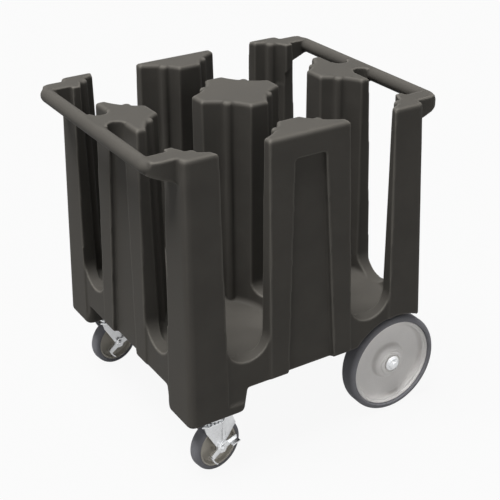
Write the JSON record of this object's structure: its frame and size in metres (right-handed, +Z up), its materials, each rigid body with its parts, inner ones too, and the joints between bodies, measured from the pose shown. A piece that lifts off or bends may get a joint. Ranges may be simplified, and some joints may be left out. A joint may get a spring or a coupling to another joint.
{
  "type": "dish caddy",
  "caption": "Dish caddy: a moulded open-sided body with round silos for stacked plates, a bar handle at each end, large fixed wheels and braked swivel casters.",
  "frame": {"origin": "on the floor under the middle of the caddy's box", "axes": "+X towards the end with the large fixed wheels, +Y towards the left side as it is pushed that way, +Z up"},
  "size_m": [0.764, 0.6476, 0.8001],
  "materials": {
    "moulded_body": "matte",
    "tyre_rubber": "matte",
    "wheel_disc": "satin",
    "caster_core": "satin",
    "bush_plastic": "satin",
    "zinc_steel": "bright zinc"
  },
  "bodies": {
    "frame": {"body": "moulded_body", "rear_axle": "zinc_steel", "axle_spacers": "zinc_steel", "axle_cap_left": "zinc_steel", "caster_plate_left": "zinc_steel", "plate_bolts_left": "zinc_steel", "kingpin_left": "zinc_steel", "axle_cap_right": "zinc_steel", "caster_plate_right": "zinc_steel", "plate_bolts_right": "zinc_steel", "kingpin_right": "zinc_steel"},
    "rear_wheel_left": {"rear_wheel_left": "wheel_disc", "rear_tyre_left": "tyre_rubber", "rear_bush_left": "bush_plastic"},
    "caster_left": {"fork_left": "zinc_steel", "race_balls_left": "zinc_steel", "caster_axle_left": "zinc_steel", "caster_nut_left": "zinc_steel"},
    "caster_wheel_left": {"caster_wheel_left": "caster_core", "caster_tyre_left": "tyre_rubber", "caster_bush_left": "zinc_steel"},
    "brake_left": {"brake_lever_left": "zinc_steel"},
    "rear_wheel_right": {"rear_wheel_right": "wheel_disc", "rear_tyre_right": "tyre_rubber", "rear_bush_right": "bush_plastic"},
    "caster_right": {"fork_right": "zinc_steel", "race_balls_right": "zinc_steel", "caster_axle_right": "zinc_steel", "caster_nut_right": "zinc_steel"},
    "caster_wheel_right": {"caster_wheel_right": "caster_core", "caster_tyre_right": "tyre_rubber", "caster_bush_right": "zinc_steel"},
    "brake_right": {"brake_lever_right": "zinc_steel"}
  },
  "joints": [
    {"name": "rear_spin_left", "type": "hinge", "parent": "frame", "child": "rear_wheel_left", "pos_m": [0.255, 0.283, 0.127], "axis": [0, 1, 0], "continuous": true},
    {"name": "swivel_left", "type": "hinge", "parent": "frame", "child": "caster_left", "pos_m": [-0.24, 0.268, 0.15], "axis": [0, 0, 1], "continuous": true},
    {"name": "caster_spin_left", "type": "hinge", "parent": "caster_left", "child": "caster_wheel_left", "pos_m": [-0.23208, 0.26911, 0.0635], "axis": [-0.1392, 0.9903, 0], "continuous": true},
    {"name": "brake_rock_left", "type": "hinge", "parent": "caster_left", "child": "brake_left", "pos_m": [-0.23208, 0.26911, 0.0635], "axis": [-0.1392, 0.9903, 0], "range_deg": [0, 24]},
    {"name": "rear_spin_right", "type": "hinge", "parent": "frame", "child": "rear_wheel_right", "pos_m": [0.255, -0.283, 0.127], "axis": [0, 1, 0], "continuous": true},
    {"name": "swivel_right", "type": "hinge", "parent": "frame", "child": "caster_right", "pos_m": [-0.24, -0.268, 0.15], "axis": [0, 0, 1], "continuous": true},
    {"name": "caster_spin_right", "type": "hinge", "parent": "caster_right", "child": "caster_wheel_right", "pos_m": [-0.23208, -0.26689, 0.0635], "axis": [-0.1392, 0.9903, 0], "continuous": true},
    {"name": "brake_rock_right", "type": "hinge", "parent": "caster_right", "child": "brake_right", "pos_m": [-0.23208, -0.26689, 0.0635], "axis": [-0.1392, 0.9903, 0], "range_deg": [0, 24]}
  ]
}
